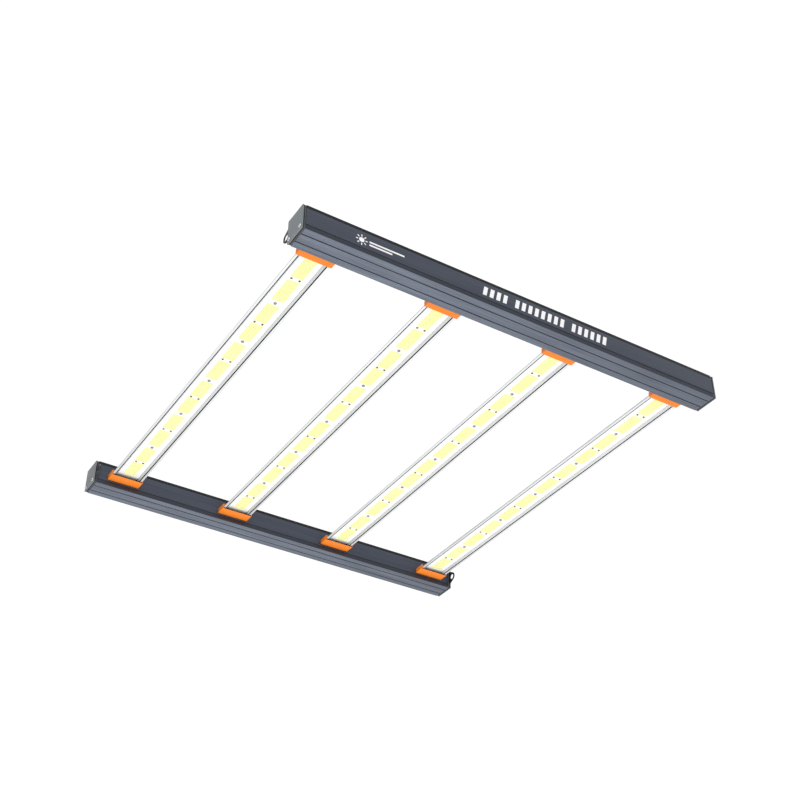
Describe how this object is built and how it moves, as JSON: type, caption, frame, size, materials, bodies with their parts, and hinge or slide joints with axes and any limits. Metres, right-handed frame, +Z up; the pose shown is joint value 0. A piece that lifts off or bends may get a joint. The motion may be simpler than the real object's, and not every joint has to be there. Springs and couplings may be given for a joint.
{
  "type": "led grow light",
  "caption": "Flat LED grow light: light bars held by clips between two box rails, with hanging ears at the corners and a rotary dimmer.",
  "frame": {"origin": "centre of the footprint, level with the undersides of the two rails", "axes": "+X along the rails, +Y from the driver rail to the tie rail, +Z up; the light shines down, towards -Z"},
  "size_m": [0.6028, 0.6446, 0.0454],
  "materials": {
    "rail": "slate grey anodised aluminium, satin",
    "rail_cover": "near-black anodised aluminium, satin",
    "end_cap": "grey sheet, fine satin",
    "hanging_ear": "black powder coat on steel sheet",
    "rubber": "grey, matt",
    "screws": "bright",
    "bolts": "zinc plated",
    "heat_sink": "clear anodised, satin",
    "led_board": "white solder mask",
    "clip": "moulded orange nylon, satin",
    "driver_case": "plain sheet",
    "thermal_pad": "grey silicone, matt",
    "terminal": "moulded",
    "black_nylon": "moulded black nylon",
    "knob": "moulded black nylon, fluted"
  },
  "bodies": {
    "frame": {"driver_rail": "rail", "driver_rail_cover": "rail_cover", "end_cap_driver_left": "end_cap", "hanging_ear_driver_left": "hanging_ear", "gasket_driver_left": "rubber", "cap_screw_driver_left_1": "screws", "cap_screw_driver_left_2": "screws", "end_cap_driver_right": "end_cap", "hanging_ear_driver_right": "hanging_ear", "gasket_driver_right": "rubber", "cap_screw_driver_right_1": "screws", "cap_screw_driver_right_2": "screws", "bar_clip_driver_1": "clip", "bar_bolt_driver_1": "bolts", "bar_clip_driver_2": "clip", "bar_bolt_driver_2": "bolts", "bar_clip_driver_3": "clip", "bar_bolt_driver_3": "bolts", "bar_clip_driver_4": "clip", "bar_bolt_driver_4": "bolts", "tie_rail": "rail", "tie_rail_cover": "rail_cover", "end_cap_tie_left": "end_cap", "hanging_ear_tie_left": "hanging_ear", "gasket_tie_left": "rubber", "cap_screw_tie_left_1": "screws", "cap_screw_tie_left_2": "screws", "end_cap_tie_right": "end_cap", "hanging_ear_tie_right": "hanging_ear", "gasket_tie_right": "rubber", "cap_screw_tie_right_1": "screws", "cap_screw_tie_right_2": "screws", "bar_clip_tie_1": "clip", "bar_bolt_tie_1": "bolts", "bar_clip_tie_2": "clip", "bar_bolt_tie_2": "bolts", "bar_clip_tie_3": "clip", "bar_bolt_tie_3": "bolts", "bar_clip_tie_4": "clip", "bar_bolt_tie_4": "bolts", "bar_heat_sink_1": "heat_sink", "led_board_1": "led_board", "bar_heat_sink_2": "heat_sink", "led_board_2": "led_board", "bar_heat_sink_3": "heat_sink", "led_board_3": "led_board", "bar_heat_sink_4": "heat_sink", "led_board_4": "led_board", "led_driver_left": "driver_case", "thermal_pad_left": "thermal_pad", "led_driver_right": "driver_case", "thermal_pad_right": "thermal_pad", "terminal_block": "terminal", "cable_gland_body": "black_nylon", "cable_gland_dome": "black_nylon", "cable_gland_locknut": "black_nylon", "dimmer_pot": "driver_case", "dimmer_nut": "bolts"},
    "dimmer": {"dimmer_shaft": "bolts", "dimmer_knob": "knob"}
  },
  "joints": [
    {"name": "dimmer_turn", "type": "hinge", "parent": "frame", "child": "dimmer", "pos_m": [0.022, -0.3049, 0.035], "axis": [0, 0, -1], "range_deg": [0, 270]}
  ]
}
